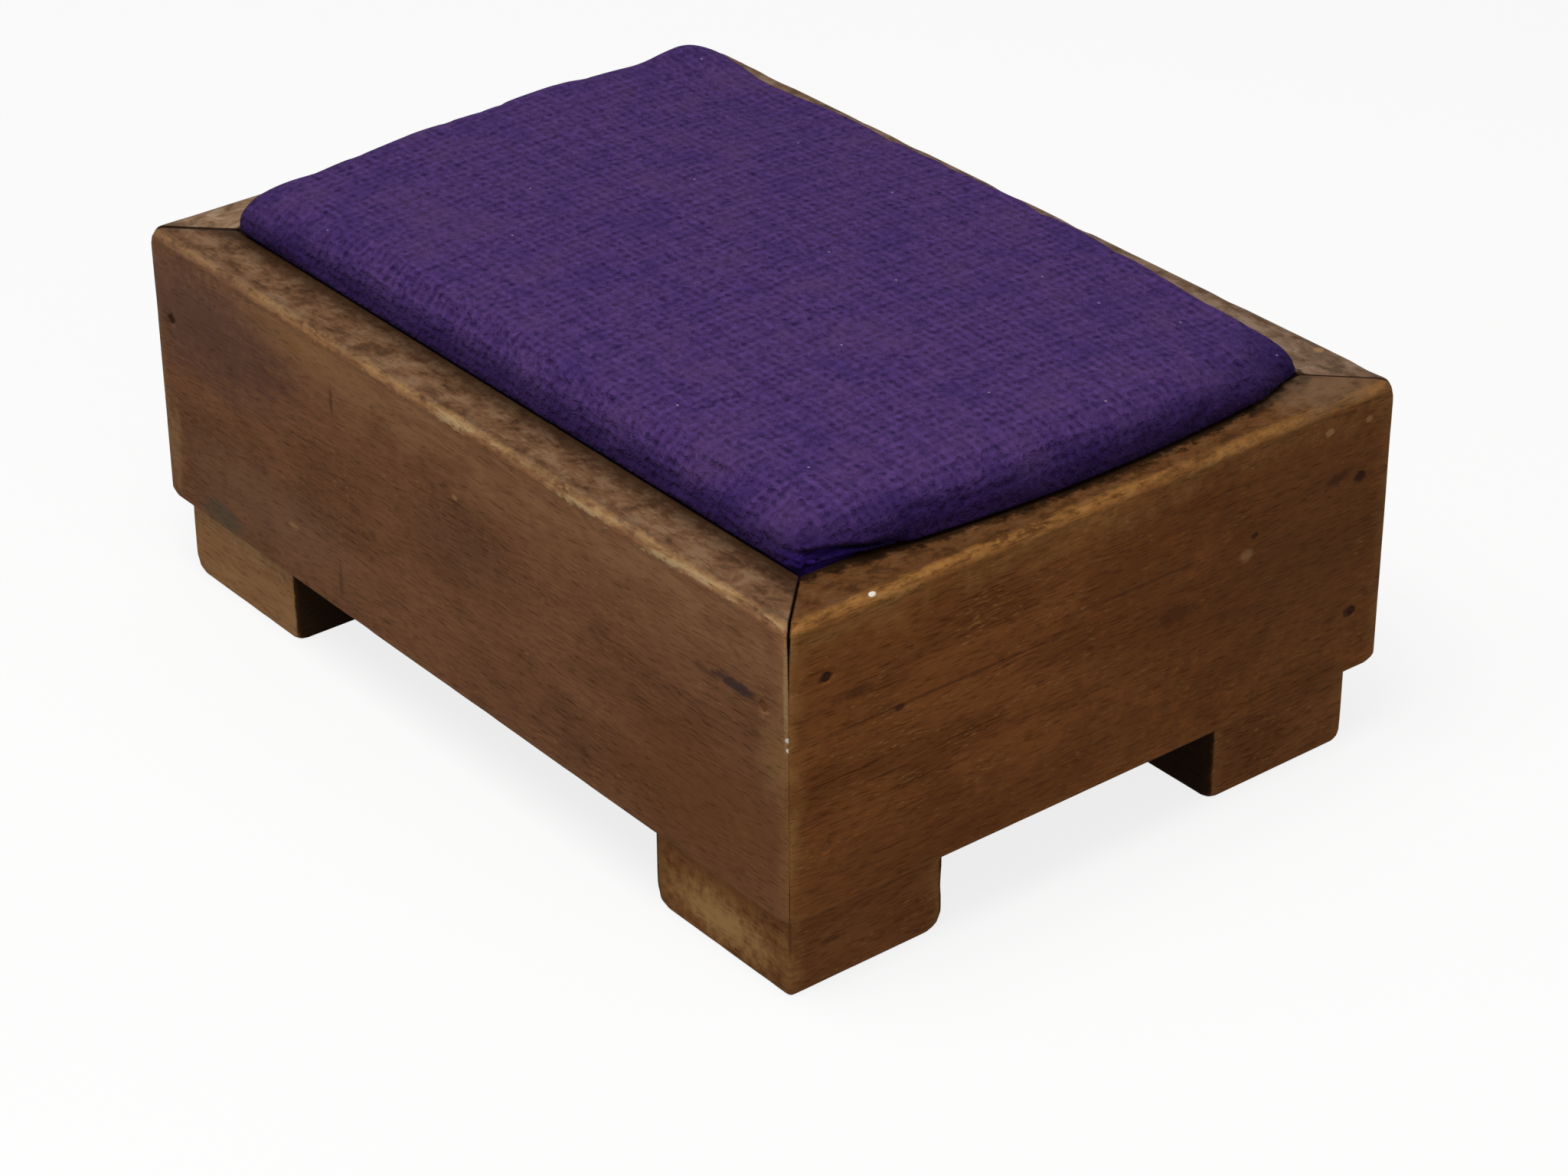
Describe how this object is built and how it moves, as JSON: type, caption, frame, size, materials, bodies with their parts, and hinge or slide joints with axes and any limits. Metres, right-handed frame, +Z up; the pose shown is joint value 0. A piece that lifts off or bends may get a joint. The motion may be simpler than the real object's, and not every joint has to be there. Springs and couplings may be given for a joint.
{
  "type": "footstool",
  "caption": "Low wooden footstool: a mitred box of stained rails on block feet, with a crowned cloth-covered drop-in seat that lifts out.",
  "frame": {"origin": "on the floor, under the middle of the box in plan", "axes": "+X along the long side, +Y along the short side towards the back rail, +Z up"},
  "size_m": [0.356, 0.252, 0.156],
  "materials": {
    "stained_beech": "stained beech, worn satin",
    "raw_softwood": "bare planed softwood",
    "plywood": "bare birch plywood",
    "dark_filler": "dark wood filler",
    "nail_steel": "dull steel",
    "screw_steel": "dull slotted steel",
    "tack_steel": "blued steel",
    "stuffing": "felted fibre wadding",
    "purple_cloth": "coarse woven wool cloth"
  },
  "bodies": {
    "frame": {"front_rail": "stained_beech", "right_rail": "stained_beech", "back_rail": "stained_beech", "left_rail": "stained_beech", "front_left_foot": "stained_beech", "front_right_foot": "stained_beech", "back_right_foot": "stained_beech", "back_left_foot": "stained_beech", "front_left_corner_block": "raw_softwood", "front_right_corner_block": "raw_softwood", "back_right_corner_block": "raw_softwood", "back_left_corner_block": "raw_softwood", "front_seat_batten": "raw_softwood", "back_seat_batten": "raw_softwood", "left_seat_batten": "raw_softwood", "right_seat_batten": "raw_softwood", "mitre_nails": "nail_steel", "nail_hole_filler": "dark_filler", "foot_screws": "screw_steel", "batten_pins": "nail_steel"},
    "seat": {"seat_board": "plywood", "seat_stuffing": "stuffing", "seat_cover": "purple_cloth", "cover_tacks": "tack_steel"}
  },
  "joints": [
    {"name": "seat_lift", "type": "slide", "parent": "frame", "child": "seat", "axis": [0, 0, 1], "range_m": [0, 0.05]}
  ]
}
